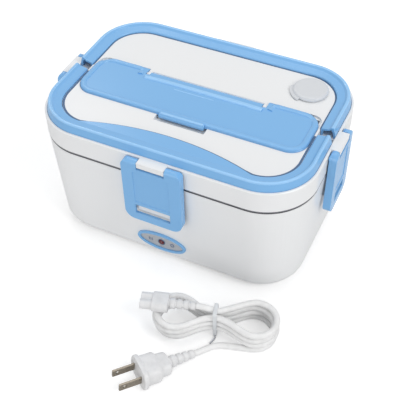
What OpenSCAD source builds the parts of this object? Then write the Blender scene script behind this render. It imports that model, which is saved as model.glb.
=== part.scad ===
/* [Box] */
// Length of the lid and of the rim
box_len = 222; // [200:1:260]
// Width of the lid and of the rim
box_wid = 152; // [140:1:190]
// Radius of the lid's corners seen from above
corner_r = 41; // [38:0.5:50]
// How far the body wall leans in towards the bottom
draft = 4.5; // [3:0.5:7]
// Height of the body's rim above the table
rim_z = 91; // [84:1:120]
// Step from the lid's wall in to the body's rim
rim_step = 0.3; // [0.2:0.1:0.8]
// Radius of the body's bottom edge
bottom_r = 9; // [7:0.5:11]
// Wall of the outer shell
shell_wall = 2.2; // [1.8:0.1:2.6]
// Clearance between pieces that move past each other
gap = 0.3; // [0.2:0.05:0.4]

/* [Underside] */
// Height of the rubber feet below the body
foot_h = 2; // [1.5:0.5:4]
// Diameter of a foot
foot_d = 12; // [8:1:16]
// Distance of the feet from the middle along the length
foot_x = 74; // [60:1:76]
// Distance of the feet from the middle along the width
foot_y = 40; // [32:1:42]
// Thickness of the bottom cover
cover_t = 2.4; // [2:0.1:3]
// Distance from the corner centre to the bottom cover's edge
cover_r = 22; // [21:0.5:23]
// Width of the ledge that the bottom cover seats on
ledge_w = 4; // [3:0.5:5]
// Distance of the cover screws from the middle along the length
screw_x = 84; // [80:1:86]
// Distance of the cover screws from the middle along the width
screw_y = 20; // [14:1:24]
// Diameter of the screws' threads
screw_d = 3; // [2.5:0.5:3]
// Diameter of the screws' heads
screw_head_d = 5.6; // [5:0.2:6]
// Diameter of the screw bosses
boss_d = 8; // [7:0.5:9]

/* [Heater] */
// Height of the liner's floor above the table
liner_floor_z = 27; // [25:0.5:32]
// Wall of the inner liner
liner_wall = 1.8; // [1.5:0.1:2.2]
// Length of the heating plate
plate_len = 160; // [140:2:170]
// Width of the heating plate
plate_wid = 92; // [84:2:100]
// Thickness of the heating plate
plate_t = 3; // [2:0.5:3]
// How far the heating plate overlaps the liner's floor
plate_lap = 6; // [5:0.5:8]
// Thickness of the seal under the heating plate
seal_t = 0.8; // [0.6:0.1:1]
// Length of a heater block
ptc_len = 50; // [40:1:56]
// Width of a heater block
ptc_wid = 22; // [16:1:26]
// Thickness of a heater block
ptc_t = 5; // [4:0.5:5]
// Distance of a heater block's middle from the box's middle
ptc_x = 34; // [30:1:38]
// Thickness of the insulating sheets
mica_t = 0.6; // [0.4:0.1:0.8]
// Thickness of the clamp strip
clamp_t = 1.5; // [1.2:0.1:2]
// Diameter of the thermostat
thermostat_d = 16; // [14:1:18]
// Diameter of the thermal fuse
fuse_d = 4; // [3:0.5:5]

/* [Tray] */
// Thickness of the tray's steel
steel_t = 0.8; // [0.6:0.1:1]
// Height of the tray's underside above the table
tray_floor_z = 33; // [32:0.5:40]
// Inset of the tray's wall from the lid's wall at the rim
tray_inset = 7; // [6.5:0.25:8]
// How far the tray's wall leans in towards its floor
tray_draft = 3.4; // [2.5:0.1:4]
// Radius of the tray's bottom edge
tray_round = 9; // [7:0.5:12]
// Height of the tray's rolled rim
tray_rim_h = 2; // [1.6:0.1:2.6]

/* [Lid] */
// Height of the lid's side wall
lid_wall_h = 17.5; // [16:0.5:24]
// Thickness of the lid's walls
lid_t = 1.8; // [1.5:0.1:2.2]
// Height of the top panel above the lid's shoulder
panel_rise = 2.5; // [2:0.25:4]
// Depth of the channel that the blue ring sits in
moat_depth = 2.3; // [2:0.1:3]
// Height of the sealing panel's underside above the lid's lower edge
inner_lift = 3.5; // [3:0.25:4.5]
// Thickness of the sealing panel
inner_t = 1.6; // [1.4:0.1:2]

/* [Ring] */
// Inset of the ring's lower outer edge from the lid's wall
ring_inset = 2.1; // [1.8:0.1:3]
// Width of the ring seen from above
ring_w = 11.6; // [10:0.2:13]
// Height of the ring's ridge above the lid's shoulder
ridge_h = 7; // [6:0.25:9]
// Inset of the ridge from the ring's lower outer edge
ridge_in = 2.4; // [2:0.1:3]
// Wall of the ring
ring_t = 1.8; // [1.5:0.1:2.1]
// How far the grip widens the ring at the middle of the front
grip_bow = 11; // [8:0.5:12]
// Radius of the grip's inner edge
grip_r = 212; // [180:1:260]
// Gap between the handle's end and the rear trim
ring_gap = 8; // [7:0.5:11]
// Distance of the gap's middle behind the box's middle
ring_gap_y = -0.5; // [-2:0.5:2]
// Distance from the handle's end to its pivot
pivot_in = 4; // [3.5:0.1:4.5]
// Depth of the handle's pivot below the lid's shoulder
pivot_drop = 2.2; // [2:0.1:2.6]
// Diameter of the handle's pins
handle_pin_d = 2.4; // [2:0.1:2.6]

/* [Latches] */
// Width of the latches on the long sides
latch_w = 48; // [44:1:54]
// Width of the latches on the short sides
end_latch_w = 37; // [34:1:44]
// Distance from a latch's pin down to the latch's lower edge
latch_drop = 56.5; // [50:0.5:62]
// Distance of the latch's outer face from the lid's wall
latch_out = 7; // [6.8:0.1:8]
// Thickness of the latches
latch_t = 2.2; // [1.8:0.1:2.4]
// Depth of the latches' pins below the lid's shoulder
latch_pin_drop = 2.8; // [2.6:0.1:3.4]
// Diameter of the latches' pins
latch_pin_d = 2.4; // [2:0.1:2.6]
// Radius of the latch's knuckle
knuckle_r = 3.3; // [3:0.1:3.5]
// Radius of the upper corners of the latches
ear_r = 6; // [4:0.5:7]
// Depth of the notch between a latch's ears below its pin
notch_drop = 3.6; // [3.6:0.1:6]
// Width of the white hinge block between a latch's ears
block_w = 22; // [18:1:26]
// Height of a latch's window
window_h = 8.6; // [7:0.2:10]
// Distance from a latch's lower edge up to its window
window_up = 7.4; // [6:0.2:10]
// Width of the window in the latches on the long sides
window_w = 29; // [24:1:34]
// Width of the window in the latches on the short sides
end_window_w = 19; // [16:1:24]
// Angle that a latch can swing in past its hanging position
latch_press = 2.4; // [2:0.1:2.4]

/* [Cutlery cover] */
// Length of the cutlery cover
cutlery_len = 190; // [150:1:192]
// Distance from the middle forward to the cover's front edge
cutlery_front = 30; // [28:0.5:34]
// Distance from the middle back to the cover's rear edge
cutlery_rear = 17.1; // [14.1:0.5:18.1]
// Radius of the cover's corners
cutlery_r = 14; // [10:0.5:18]
// Thickness of the cutlery cover
cutlery_t = 2.4; // [2.2:0.1:3]
// Depth of the recess that the cover lies in
cutlery_sink = 1.5; // [1:0.1:1.8]
// Width of the land around the cutlery compartment
land_w = 4; // [3:0.5:5]
// Depth of the compartment below the lid's top panel
trough_depth = 12.5; // [9:0.5:12.5]
// Length of the hinge roll at the middle of the cover's rear edge
roll_len = 96; // [70:1:110]
// Radius of the hinge roll
roll_r = 2.5; // [2.3:0.1:2.7]
// Distance from the cover's rear edge in to the hinge
hinge_in = 5.7; // [5.5:0.1:6.5]
// Diameter of the hinge pin
hinge_pin_d = 1.6; // [1.4:0.1:2]
// Width of the clasp tab
tab_w = 37; // [28:1:44]

/* [Vent] */
// Diameter of the vent's cap
vent_d = 28; // [24:0.5:30]
// Place of the vent along the length
vent_x = 75; // [60:1:76]
// Place of the vent along the width
vent_y = 43; // [38:1:44]
// Diameter of the vent's stem
vent_stem_d = 8; // [6:0.5:9]

/* [Indicator] */
// Length of the oval bezel
bezel_w = 42.5; // [36:0.5:48]
// Height of the oval bezel
bezel_h = 19.5; // [16:0.5:22]
// Width of the bezel's band
bezel_band = 2.6; // [2:0.1:3.2]
// Height of the bezel's middle above the table
bezel_z = 21.5; // [21:0.5:24]
// Diameter of the indicator's lens
lens_d = 4.6; // [4:0.2:5]

/* [Inlet] */
// Width of the inlet's face
inlet_w = 26; // [24:0.5:30]
// Height of the inlet's face
inlet_h = 14; // [13:0.5:14.5]
// Height of the inlet's middle above the table
inlet_z = 16.5; // [16:0.5:17]
// Distance between the inlet's pins
pin_pitch = 8.6; // [8:0.1:9]
// Diameter of the inlet's pins
inlet_pin_d = 2.4; // [2:0.1:2.6]

/* [Spoon] */
// Length of the spoon
spoon_len = 150; // [120:1:165]
// Width of the spoon's bowl
spoon_w = 30; // [28:0.5:31]

/* [Cord] */
// Diameter of the cord
cord_d = 4.8; // [4.4:0.1:5.2]
// Clearance between neighbouring strands of the hank
cord_gap = 0.7; // [0.65:0.05:0.9]
// Distance from the hank's middle to the tips of its loops
hank_reach = 46; // [42:1:50]
// Radius of the hank's folds
fold_r = 14.6; // [14.4:0.2:16]
// Bend radius at the hank's waist
waist_bend_r = 20; // [19.2:0.4:24]
// Thickness of the tie
tie_t = 0.6; // [0.4:0.1:1]
// Width of the tie
tie_w = 3; // [2:0.5:5]
// Length of the plug's blades
blade_len = 17; // [15:0.5:18]
// Distance between the plug's blades
blade_pitch = 12.7; // [12:0.1:13]

/* [Hidden] */
$fn = 64;

mid_x = box_len / 2 - corner_r;
mid_y = box_wid / 2 - corner_r;
fit = 0.05;
far = 400;

white = "whitesmoke";
blue = "lightskyblue";
steel = "silver";

// body levels
rim_r = corner_r - rim_step;
wall_lean = draft / (rim_z - foot_h);
draft_angle = atan(wall_lean);

// outline radius of the body's wall at a height above the table
function wall_r(z) = rim_r - wall_lean * (rim_z - z);

// lid levels
rim_seat_z = rim_z + gap;
lid_z = rim_seat_z + tray_rim_h + gap;
shoulder_z = lid_z + lid_wall_h;
panel_z = shoulder_z + panel_rise;
moat_z = shoulder_z - moat_depth;
inner_z = lid_z + inner_lift;
ridge_z = shoulder_z + ridge_h;

// ring radii, measured from the corner centres
ring_out = corner_r - ring_inset;
ring_in = ring_out - ring_w;
moat_out = ring_out + gap;
moat_in = ring_in - gap;

// a 2-D profile (distance from the corner centre, height) swept around a rounded rectangle
// whose corner centres lie at mx and my
module sweep(mx = mid_x, my = mid_y) {
    for (corner = [[1, 1, 0], [-1, 1, 90], [-1, -1, 180], [1, -1, 270]])
        translate([corner[0] * mx, corner[1] * my, 0])
            rotate([0, 0, corner[2]])
                rotate_extrude(angle = 90)
                    children();
    for (turn = [0, 180])
        rotate([0, 0, turn]) {
            translate([mx, my, 0])
                rotate([90, 0, 0])
                    linear_extrude(2 * my)
                        children();
            rotate([0, 0, 90])
                translate([my, mx, 0])
                    rotate([90, 0, 0])
                        linear_extrude(2 * mx)
                            children();
        }
}

// the middle of a swept solid, between the corner centres
module core(z0, z1, mx = mid_x, my = mid_y) {
    translate([-mx, -my, z0])
        cube([2 * mx, 2 * my, z1 - z0]);
}

// a straight-walled slab of the box's outline, r out from the corner centres
module slab(r, z0, z1) {
    sweep()
        translate([0, z0])
            square([r, z1 - z0]);
    core(z0, z1);
}

// profile of a basin whose wall leans out from r0 at z0 to r1 at z1, with a round lower edge
module basin(r0, z0, r1, z1, round_r) {
    lean = (r1 - r0) / (z1 - z0);
    slope = atan(lean);
    centre_r = r0 + lean * round_r - round_r / cos(slope);
    centre_z = z0 + round_r;
    steps = 8;
    polygon(concat([[0, z1], [0, z0]],
        [for (i = [0 : steps])
            let (turn = (90 - slope) * i / steps)
                [centre_r + round_r * sin(turn), centre_z - round_r * cos(turn)]],
        [[r1, z1]]));
}

// a rounded rectangle centred on the origin
module round_rect(w, h, r) {
    square([w - 2 * r, h], center = true);
    square([w, h - 2 * r], center = true);
    for (x = [-1, 1])
        for (y = [-1, 1])
            translate([x * (w / 2 - r), y * (h / 2 - r)])
                circle(r);
}

// copies of the children at four places, at a distance x and y from the middle
module on_four(x, y) {
    for (sx = [-1, 1])
        for (sy = [-1, 1])
            translate([sx * x, sy * y, 0])
                children();
}

// ---- body ----

module shell_profile() {
    basin(wall_r(foot_h), foot_h, rim_r, rim_z, bottom_r);
}

module outer_shell() {
    color(white)
        difference() {
            union() {
                difference() {
                    union() {
                        sweep() shell_profile();
                        core(foot_h, rim_z);
                    }
                    shell_inside();
                }
                catches();
            }
            // opening for the bottom cover, with the ledge that it seats on
            slab(cover_r + gap, foot_h - 1, foot_h + cover_t);
            slab(cover_r - ledge_w, foot_h - 1, foot_h + far / 10);
            // hole behind the indicator
            translate([0, -mid_y - wall_r(bezel_z), bezel_z])
                rotate([90, 0, 0])
                    cylinder(d = lens_d + 2, h = 20, center = true);
            // cut-out for the inlet
            translate([-inlet_w / 2 + 2, mid_y, inlet_z - inlet_h / 2 + 1.5])
                cube([inlet_w - 4, corner_r, inlet_h - 3]);
        }
}

// the space inside the outer shell
module shell_inside() {
    floor_z = foot_h + cover_t + shell_wall;
    over_z = rim_z + 1;
    sweep()
        basin(wall_r(floor_z) - shell_wall, floor_z, wall_r(over_z) - shell_wall, over_z,
            bottom_r - shell_wall);
    core(floor_z, over_z);
}

// inner liner: radii at its floor and rim, measured to its inner face
liner_rim_r = corner_r - tray_inset + 1.2;
liner_floor_r = wall_r(liner_floor_z) - shell_wall - liner_wall - 0.6;

module inner_liner() {
    opening_len = plate_len - 2 * plate_lap;
    opening_wid = plate_wid - 2 * plate_lap;
    floor_under = liner_floor_z - 2;
    boss_z = foot_h + cover_t;
    flange_z = rim_z - 1.6;
    module liner_profile() {
        polygon([[0, floor_under], [liner_floor_r + liner_wall, floor_under],
            [liner_rim_r + liner_wall, rim_z - 3], [wall_r(flange_z) - shell_wall - fit, flange_z],
            [rim_r - shell_wall - fit, rim_z], [liner_rim_r, rim_z], [liner_floor_r, liner_floor_z],
            [0, liner_floor_z]]);
    }
    color("gainsboro")
        difference() {
            union() {
                sweep() liner_profile();
                core(floor_under, liner_floor_z);
                on_four(screw_x, screw_y)
                    translate([0, 0, boss_z])
                        cylinder(d = boss_d, h = floor_under - boss_z + 0.5);
                for (s = [-1, 1])
                    translate([s * clamp_screw_x, 0, floor_under - 3])
                        cylinder(d = boss_d - 1, h = 3.5);
            }
            translate([-opening_len / 2, -opening_wid / 2, floor_under - 1])
                cube([opening_len, opening_wid, 4]);
            on_four(screw_x, screw_y)
                translate([0, 0, boss_z - 1])
                    cylinder(d = screw_d, h = 12);
            for (s = [-1, 1])
                translate([s * clamp_screw_x, 0, floor_under - 4])
                    cylinder(d = screw_d, h = 5);
        }
}

module bottom_cover() {
    color(white)
        difference() {
            slab(cover_r, foot_h, foot_h + cover_t);
            on_four(screw_x, screw_y) {
                translate([0, 0, foot_h - 1])
                    cylinder(d = screw_d + 2 * fit, h = cover_t + 2);
                translate([0, 0, foot_h - 1])
                    cylinder(d = screw_head_d + 0.4, h = 1 + cover_t / 2);
            }
            on_four(foot_x, foot_y)
                translate([0, 0, foot_h - 1])
                    cylinder(d = foot_d + 2 * fit, h = 1.8);
            // vent slots
            for (i = [-4 : 4])
                translate([i * 6 - 1, -14, foot_h - 1])
                    cube([2, 28, cover_t + 2]);
        }
}

module cover_screws() {
    color(steel)
        on_four(screw_x, screw_y) {
            translate([0, 0, foot_h + 0.2])
                cylinder(d = screw_head_d, h = cover_t / 2 - 0.2);
            translate([0, 0, foot_h + 0.8])
                cylinder(d = screw_d, h = 10);
        }
}

module rubber_feet() {
    color("dimgray")
        on_four(foot_x, foot_y)
            cylinder(d = foot_d, h = foot_h + 0.8);
}

// ---- heater ----

plate_z = liner_floor_z + seal_t;
clamp_len = 2 * (ptc_x + ptc_len / 2) + 12;
clamp_screw_x = plate_len / 2 + 2;
clamp_z = plate_z - ptc_t - mica_t;

module heating_plate() {
    color("lightgray")
        translate([0, 0, plate_z])
            linear_extrude(plate_t)
                round_rect(plate_len, plate_wid, 12);
}

module plate_seal() {
    color("firebrick")
        translate([0, 0, liner_floor_z])
            linear_extrude(seal_t)
                difference() {
                    round_rect(plate_len, plate_wid, 12);
                    square([plate_len - 2 * plate_lap, plate_wid - 2 * plate_lap], center = true);
                }
}

module ptc_heaters() {
    color("goldenrod")
        for (s = [-1, 1])
            translate([s * ptc_x - ptc_len / 2, -ptc_wid / 2, plate_z - ptc_t])
                cube([ptc_len, ptc_wid, ptc_t]);
}

module mica_sheets() {
    color("wheat")
        for (s = [-1, 1])
            translate([s * ptc_x - ptc_len / 2 - 3, -ptc_wid / 2 - 2, clamp_z])
                cube([ptc_len + 6, ptc_wid + 4, mica_t]);
}

module heater_clamp() {
    end_x = clamp_screw_x + 5;
    seat_z = liner_floor_z - 2 - 3;
    color(steel)
        difference() {
            translate([-end_x, -8, seat_z - clamp_t])
                cube([2 * end_x, 16, clamp_t + (clamp_z - seat_z)]);
            // the middle is lifted against the heaters and the ends drop to the bosses
            for (s = [-1, 1])
                translate([s > 0 ? clamp_len / 2 : -end_x - 1, -9, seat_z])
                    cube([end_x - clamp_len / 2 + 1, 18, 5]);
            translate([-clamp_len / 2 + clamp_t, -9, seat_z - clamp_t - 1])
                cube([clamp_len - 2 * clamp_t, 18, 1 + clamp_z - seat_z]);
            for (s = [-1, 1])
                translate([s * clamp_screw_x, 0, seat_z - clamp_t - 1])
                    cylinder(d = screw_d + 2 * fit, h = 4);
        }
}

module clamp_screws() {
    head_z = liner_floor_z - 5 - clamp_t;
    color(steel)
        for (s = [-1, 1])
            translate([s * clamp_screw_x, 0, 0]) {
                translate([0, 0, head_z - 1.8])
                    cylinder(d = screw_head_d, h = 1.8);
                translate([0, 0, head_z - 0.5])
                    cylinder(d = screw_d, h = 5.5);
            }
}

thermostat_y = ptc_wid / 2 + 6 + thermostat_d / 2;

module thermostat() {
    color("saddlebrown")
        translate([0, thermostat_y, 0]) {
            translate([0, 0, plate_z - 3])
                cylinder(d = thermostat_d, h = 3);
            translate([0, 0, plate_z - 8])
                cylinder(d = thermostat_d - 3, h = 5);
            for (s = [-1, 1])
                translate([s * 4 - 1.5, -0.4, plate_z - 13])
                    cube([3, 0.8, 5.5]);
        }
}

fuse_y = -ptc_wid / 2 - 8;

module thermal_fuse() {
    color("white")
        translate([-6, fuse_y, plate_z - fuse_d / 2])
            rotate([0, 90, 0])
                cylinder(d = fuse_d, h = 12);
}

// points of a smooth curve through the given points, with a number of steps between them
function bend(p, steps) = [
    for (i = [0 : len(p) - 2])
        let (a = p[max(i - 1, 0)], b = p[i], c = p[i + 1], d = p[min(i + 2, len(p) - 1)])
            for (k = [0 : steps - 1])
                let (t = k / steps)
                    0.5 * (2 * b + (c - a) * t + (2 * a - 5 * b + 4 * c - d) * t * t
                        + (3 * b - a - 3 * c + d) * t * t * t),
    p[len(p) - 1]
];

function unit(v) = v / norm(v);
function along(p, i) = unit(p[min(i + 1, len(p) - 1)] - p[max(i - 1, 0)]);
function square_to(v, t) = unit(v - (v * t) * t);
function any_side(t) = square_to(abs(t[2]) < 0.8 ? [0, 0, 1] : [1, 0, 0], t);

// directions square to the path, carried along it without twist
function carried(p) = [
    for (i = 0, u = any_side(along(p, 0)); i < len(p);
            i = i + 1, u = i < len(p) ? square_to(u, along(p, i)) : u)
        u
];

// a round tube along a path
module tube(p, d, sides = 8) {
    side = carried(p);
    last = len(p) - 1;
    rings = [
        for (i = [0 : last])
            for (k = [0 : sides - 1])
                let (turn = 360 * k / sides, v = cross(along(p, i), side[i]))
                    p[i] + d / 2 * (cos(turn) * side[i] + sin(turn) * v)
    ];
    walls = [
        for (i = [0 : last - 1])
            for (k = [0 : sides - 1])
                let (a = i * sides + k, b = i * sides + (k + 1) % sides)
                    each [[a, a + sides, b], [b, a + sides, b + sides]]
    ];
    start = [for (k = [1 : sides - 2]) [0, k, k + 1]];
    end = [for (k = [1 : sides - 2]) [last * sides, last * sides + k + 1, last * sides + k]];
    polyhedron(rings, concat(walls, start, end));
}

wire_d = 1.8;
inlet_back_y = mid_y + wall_r(inlet_z) - 14.5;

module inner_wiring() {
    wire_z = inlet_z;
    // live wire to the fuse, neutral wire to the thermostat, and their links to the heaters
    color("firebrick")
        tube(bend([[pin_pitch / 2, inlet_back_y, wire_z], [8, 46, 15], [30, 34, 15], [46, 0, 16],
            [30, fuse_y, 21], [12, fuse_y, 25.8], [6.2, fuse_y, 25.8]], 4), wire_d);
    color("royalblue")
        tube(bend([[-pin_pitch / 2, inlet_back_y, wire_z], [-6, 46, 14], [-12, 36, 12],
            [-9, thermostat_y, 15.5], [-5.6, thermostat_y, 16.5]], 4), wire_d);
}

// ---- indicator ----

// a frame on the front wall at a height: -Y faces straight out and Z runs up the wall
module on_wall(z) {
    translate([0, -mid_y - wall_r(z), z])
        rotate([draft_angle, 0, 0])
            children();
}

module oval(w, h, y0, y1) {
    translate([0, y1, 0])
        rotate([90, 0, 0])
            linear_extrude(y1 - y0)
                scale([1, h / w])
                    circle(d = w, $fn = 72);
}

bezel_proud = 1.6;
plate_proud = 0.8;
wall_depth = shell_wall * cos(draft_angle);
board_gap = 4;

module indicator_bezel() {
    color(blue)
        on_wall(bezel_z)
            difference() {
                oval(bezel_w, bezel_h, -bezel_proud, 0);
                oval(bezel_w - 2 * bezel_band, bezel_h - 2 * bezel_band, -bezel_proud - 1, 1);
            }
}

module indicator_plate() {
    color("silver")
        on_wall(bezel_z)
            difference() {
                oval(bezel_w - 2 * bezel_band - 0.2, bezel_h - 2 * bezel_band - 0.2, -plate_proud, 0);
                rotate([90, 0, 0])
                    cylinder(d = lens_d + 0.4, h = 4, center = true);
            }
}

module indicator_lens() {
    color("maroon")
        on_wall(bezel_z)
            rotate([90, 0, 0]) {
                translate([0, 0, -wall_depth - 0.6])
                    cylinder(d = lens_d, h = wall_depth + 0.6 + plate_proud + 0.4);
                translate([0, 0, plate_proud + 0.4])
                    cylinder(d1 = lens_d, d2 = lens_d - 1.6, h = 0.6);
            }
}

module led_board() {
    color("seagreen")
        on_wall(bezel_z) {
            translate([-17, wall_depth + board_gap, -10])
                cube([34, 1.6, 12]);
            for (s = [-1, 1])
                translate([s * 13, wall_depth, 0])
                    rotate([-90, 0, 0])
                        cylinder(d = 4, h = board_gap + 0.5);
            translate([0, wall_depth + 0.6, 0])
                rotate([-90, 0, 0])
                    cylinder(d = 3, h = board_gap);
        }
}

// ---- inlet ----

socket_face = 2.2;
recess_w = 14.6;
recess_h = 8;
recess_depth = 11;
flap_t = 2;
flap_axis_up = inlet_h / 2 + 2;
flap_axis_out = socket_face + gap + flap_t / 2;
flap_pin_d = 1.2;
flap_roll_r = 1.4;

// two round holes joined side by side
module eight(w, h) {
    for (s = [-1, 1])
        translate([s * (w - h) / 2, 0])
            circle(d = h);
    square([w - h, h - 1.6], center = true);
}

// the rear wall's frame, turned from the front wall's
module on_rear(z) {
    rotate([0, 0, 180])
        on_wall(z)
            children();
}

module inlet_socket() {
    ear_x = inlet_w / 2 - 3;
    color("whitesmoke")
        on_rear(inlet_z)
            difference() {
                union() {
                    rotate([90, 0, 0])
                        linear_extrude(socket_face)
                            round_rect(inlet_w, inlet_h, 3);
                    translate([0, 14, 0])
                        rotate([90, 0, 0])
                            linear_extrude(14.5)
                                round_rect(inlet_w - 5, inlet_h - 3.6, 2);
                    // ears for the cover's pin
                    for (s = [-1, 1])
                        translate([s * ear_x - 1.4, -flap_axis_out - 1.4, inlet_h / 2 - 1.5])
                            cube([2.8, flap_axis_out + 1.4, 5]);
                }
                translate([0, recess_depth - socket_face, 0])
                    rotate([90, 0, 0])
                        linear_extrude(recess_depth + 1)
                            eight(recess_w, recess_h);
                translate([0, -flap_axis_out, flap_axis_up])
                    rotate([0, 90, 0])
                        cylinder(d = flap_pin_d, h = inlet_w + 2, center = true);
                for (s = [-1, 1])
                    translate([s * pin_pitch / 2, 0, 0])
                        rotate([-90, 0, 0])
                            cylinder(d = inlet_pin_d, h = 20);
            }
}

module inlet_pins() {
    color("goldenrod")
        on_rear(inlet_z)
            for (s = [-1, 1])
                translate([s * pin_pitch / 2, 0, 0])
                    rotate([-90, 0, 0])
                        cylinder(d = inlet_pin_d, h = 14.5);
}

module inlet_cover() {
    roll = inlet_w - 9.4;
    color("white")
        on_rear(inlet_z)
            difference() {
                union() {
                    translate([0, -socket_face - gap, 0])
                        rotate([90, 0, 0])
                            linear_extrude(flap_t)
                                round_rect(inlet_w + 1, inlet_h + 0.6, 3.2);
                    translate([-roll / 2, -flap_axis_out - flap_t / 2, 0])
                        cube([roll, flap_t, flap_axis_up]);
                    translate([0, -flap_axis_out, flap_axis_up])
                        rotate([0, 90, 0])
                            cylinder(r = flap_roll_r, h = roll, center = true);
                }
                // clearance for the socket's ears
                for (s = [-1, 1])
                    translate([s * (inlet_w / 2 - 3) - 1.7, -flap_axis_out - 3, inlet_h / 2 - 2])
                        cube([3.4, 6, 6]);
                translate([0, -flap_axis_out, flap_axis_up])
                    rotate([0, 90, 0])
                        cylinder(d = flap_pin_d + 2 * fit, h = inlet_w + 2, center = true);
            }
}

module inlet_cover_pin() {
    color(steel)
        on_rear(inlet_z)
            translate([0, -flap_axis_out, flap_axis_up])
                rotate([0, 90, 0])
                    cylinder(d = flap_pin_d, h = inlet_w - 3.2, center = true);
}

// ---- tray ----

tray_r = corner_r - tray_inset;

module steel_tray() {
    brim_z = rim_seat_z + steel_t;
    color(steel)
        difference() {
            union() {
                sweep() {
                    basin(tray_r - tray_draft, tray_floor_z, tray_r, brim_z, tray_round);
                    translate([tray_r - 1, rim_seat_z])
                        square([rim_r - tray_r + 1, steel_t]);
                    translate([rim_r - 1.8, rim_seat_z])
                        square([1.8, tray_rim_h]);
                }
                core(tray_floor_z, brim_z);
            }
            sweep()
                basin(tray_r - tray_draft - steel_t, tray_floor_z + steel_t, tray_r - steel_t,
                    brim_z + fit, tray_round - steel_t);
            core(tray_floor_z + steel_t, brim_z + fit);
        }
}

// ---- lid ----

trough_z = panel_z - trough_depth;
land_z = panel_z - cutlery_sink;
cover_z = land_z + gap;
cover_top = cover_z + cutlery_t;
hinge_y = cutlery_rear - hinge_in;
hinge_z = cover_top - roll_r;
roll_edge_y = hinge_y + roll_r + gap;
ear_t = 3;
ear_out = roll_len / 2 + gap + ear_t;
trough_x = cutlery_len / 2 - land_w;
wing_x = trough_x + 2.2;
trough_front = cutlery_front - land_w;
trough_rear = cutlery_rear + 0.5;
grip_in_y = -mid_y - ring_in;
grip_y = grip_in_y + grip_bow - grip_r;
grip_half = sqrt(grip_r * grip_r - (grip_r - grip_bow) * (grip_r - grip_bow));
handle_end_y = ring_gap_y - ring_gap / 2;
trim_end_y = ring_gap_y + ring_gap / 2;
pivot_y = handle_end_y - pivot_in;
pivot_z = shoulder_z - pivot_drop;
latch_pin_z = shoulder_z - latch_pin_drop;
latch_pin_out = latch_out - knuckle_r;
block_out = latch_pin_out + 2.8;

// the latch seats: distance of the lid's wall, latch width, window width and turn
SIDES = [
    [mid_y + corner_r, latch_w, window_w, 0],
    [mid_y + corner_r, latch_w, window_w, 180],
    [mid_x + corner_r, end_latch_w, end_window_w, 270],
    [mid_x + corner_r, end_latch_w, end_window_w, 90]
];

// a side's frame: the lid's wall lies in the plane y = 0 and -Y faces out
module on_side(side) {
    rotate([0, 0, side[3]])
        translate([0, -side[0], 0])
            children();
}

module lid_profile() {
    polygon([[0, panel_z], [moat_in, panel_z], [moat_in, moat_z], [moat_out, moat_z],
        [moat_out, shoulder_z], [corner_r - 0.8, shoulder_z], [corner_r, shoulder_z - 0.8],
        [corner_r, lid_z], [corner_r - lid_t, lid_z], [corner_r - lid_t, moat_z - lid_t],
        [moat_in - lid_t, moat_z - lid_t], [moat_in - lid_t, panel_z - lid_t], [0, panel_z - lid_t]]);
    // rib down to the sealing panel
    translate([gasket_in, inner_z + inner_t])
        square([lid_t, moat_z - lid_t / 2 - inner_z - inner_t]);
}

// the region inside the grip's arc and in front of the panel, grown by a clearance
module grip_area(grow, front) {
    intersection() {
        translate([0, grip_y])
            circle(grip_r + grow, $fn = 200);
        translate([-mid_x, -mid_y - front])
            square([2 * mid_x, front]);
    }
}

// outline of the cutlery cover's seat, grown by a clearance
module cutlery_outline(grow) {
    translate([0, (cutlery_rear - cutlery_front) / 2])
        round_rect(cutlery_len + 2 * grow, cutlery_front + cutlery_rear + 2 * grow, cutlery_r + grow);
}

// outline of the recess that the cover lies in, grown by a clearance; its rear corners are
// squarer than the cover's, which swing up past them
module recess_outline(grow) {
    recess_r = cutlery_r / 2;
    cutlery_outline(grow);
    translate([0, cutlery_rear - 3 * recess_r / 2])
        round_rect(cutlery_len + 2 * grow, 3 * recess_r + 2 * grow, recess_r);
}

// the trough seen from above; its rear wall comes forward at the hinge
module trough_outline(grow) {
    wing_room = [wing_x + grow, 2.2 + grow];
    difference() {
        union() {
            translate([0, (trough_rear - trough_front) / 2])
                round_rect(2 * (trough_x + grow), trough_rear + trough_front + 2 * grow, 6 + grow);
            // room for the ends of the cover's rear edge, which swing down behind the hinge
            translate([0, hinge_y + 1])
                square(2 * wing_room, center = true);
        }
        translate([-ear_out + grow, roll_edge_y + grow])
            square([2 * (ear_out - grow), corner_r]);
    }
}

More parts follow.
